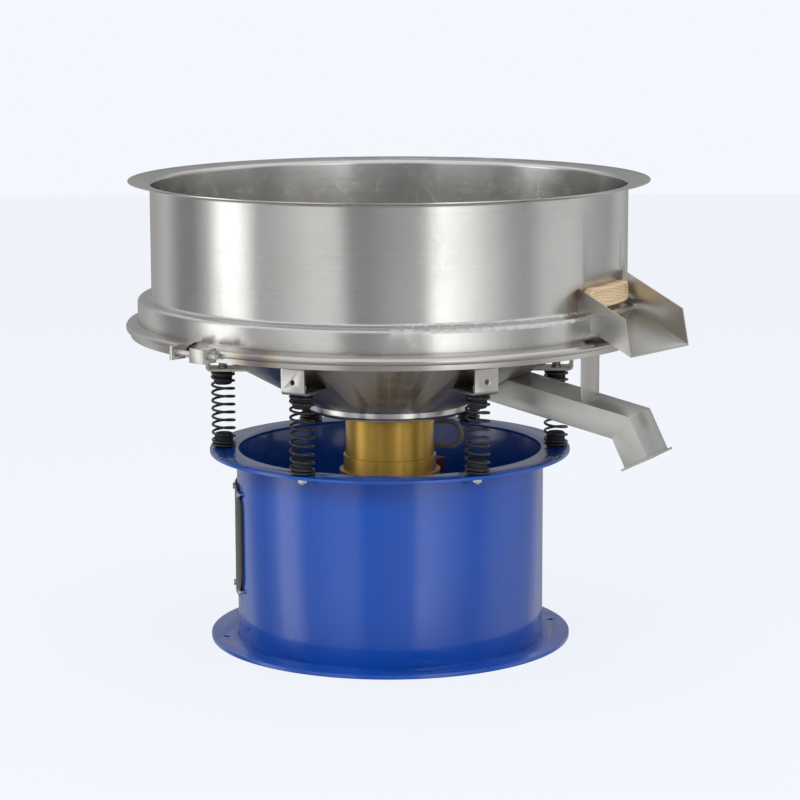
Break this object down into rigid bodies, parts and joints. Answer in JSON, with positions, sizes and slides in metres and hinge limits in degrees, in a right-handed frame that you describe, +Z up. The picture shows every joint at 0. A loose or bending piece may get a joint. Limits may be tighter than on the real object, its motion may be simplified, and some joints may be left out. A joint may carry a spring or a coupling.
{
  "type": "vibrating sieve",
  "caption": "Round vibratory sieve: a lidless screening tub with side chute and a lower pan with spout, carried on coil springs above a drum base that holds an unbalance motor.",
  "frame": {"origin": "middle of the base flange's underside, on the machine's axis", "axes": "+Z up, -Y towards the front, +X to the right seen from the front"},
  "size_m": [1.0673, 1.0199, 0.9006],
  "materials": {
    "blue_paint": "gloss blue enamel",
    "black_paint": "satin black",
    "rubber": "matt",
    "seal_rubber": "pale silicone",
    "zinc": "bright zinc",
    "spring_steel": "black stove enamel",
    "stainless": "fine brushed",
    "woven_mesh": "woven wire",
    "gold_paint": "gold hammer enamel",
    "bearing_steel": "ground",
    "core_steel": "stamped sheets",
    "machined_steel": "turned",
    "weight_iron": "cast",
    "red_paint": "dark red enamel",
    "nickel": "nickel",
    "grey_sheath": "ribbed sheath",
    "pale_wood": "planed, oiled"
  },
  "bodies": {
    "base": {"base_flange": "blue_paint", "base_drum": "blue_paint", "top_flange": "blue_paint", "cover_gasket": "rubber", "access_cover": "black_paint", "cover_screws": "zinc", "spring_1": "spring_steel", "spring_2": "spring_steel", "spring_3": "spring_steel", "spring_4": "spring_steel", "spring_5": "spring_steel", "spring_6": "spring_steel", "lower_plugs": "rubber", "lower_studs": "zinc", "lower_nuts": "zinc"},
    "vibrating_frame": {"spring_bracket_1": "stainless", "spring_bracket_2": "stainless", "spring_bracket_3": "stainless", "spring_bracket_4": "stainless", "spring_bracket_5": "stainless", "spring_bracket_6": "stainless", "upper_plugs": "rubber", "upper_studs": "zinc", "upper_nuts": "zinc", "lower_pan": "stainless", "motor_seat": "stainless", "weight_cover": "stainless", "outlet_duct": "stainless", "outlet_lip": "stainless", "outlet_strap": "stainless", "lower_seal": "seal_rubber", "screen_ring": "stainless", "screen_cross": "stainless", "screen_mesh": "woven_mesh", "upper_seal": "seal_rubber", "tub_flange": "stainless", "tub": "stainless", "oversize_chute": "stainless", "clamp_band": "stainless", "clamp_lug": "stainless", "clamp_block": "stainless", "motor_housing": "gold_paint", "end_shield": "gold_paint", "upper_bearing": "bearing_steel", "lower_bearing": "bearing_steel", "stator": "core_steel", "motor_bolts": "zinc", "shield_screws": "zinc", "terminal_box": "red_paint", "terminal_lid": "red_paint", "conduit_glands": "nickel", "conduit": "grey_sheath"},
    "rotor": {"shaft": "machined_steel", "rotor_core": "core_steel", "upper_weight": "weight_iron", "lower_weight": "weight_iron", "shaft_nut": "machined_steel"},
    "adjust_weight": {"adjust_weight": "weight_iron"},
    "stopper": {"stopper": "pale_wood"},
    "clamp_bolt": {"clamp_bolt": "zinc"}
  },
  "joints": [
    {"name": "frame_bounce", "type": "slide", "parent": "base", "child": "vibrating_frame", "axis": [0, 0, 1], "range_m": [-0.012, 0.006], "stiffness_N_per_m": 55500, "springref_m": 0.01617, "deforming": ["spring_1", "spring_2", "spring_3", "spring_4", "spring_5", "spring_6"]},
    {"name": "rotor_spin", "type": "hinge", "parent": "vibrating_frame", "child": "rotor", "pos_m": [0, 0, 0.35], "axis": [0, 0, 1], "continuous": true},
    {"name": "weight_set", "type": "hinge", "parent": "rotor", "child": "adjust_weight", "pos_m": [0, 0, 0.2317], "axis": [0, 0, 1], "range_deg": [0, 180]},
    {"name": "stopper_pull", "type": "slide", "parent": "vibrating_frame", "child": "stopper", "axis": [0.7771, -0.6293, 0], "range_m": [0, 0.06]},
    {"name": "clamp_bolt_turn", "type": "hinge", "parent": "vibrating_frame", "child": "clamp_bolt", "pos_m": [-0.34574, -0.39773, 0.618], "axis": [0.7547, -0.6561, 0], "continuous": true}
  ]
}
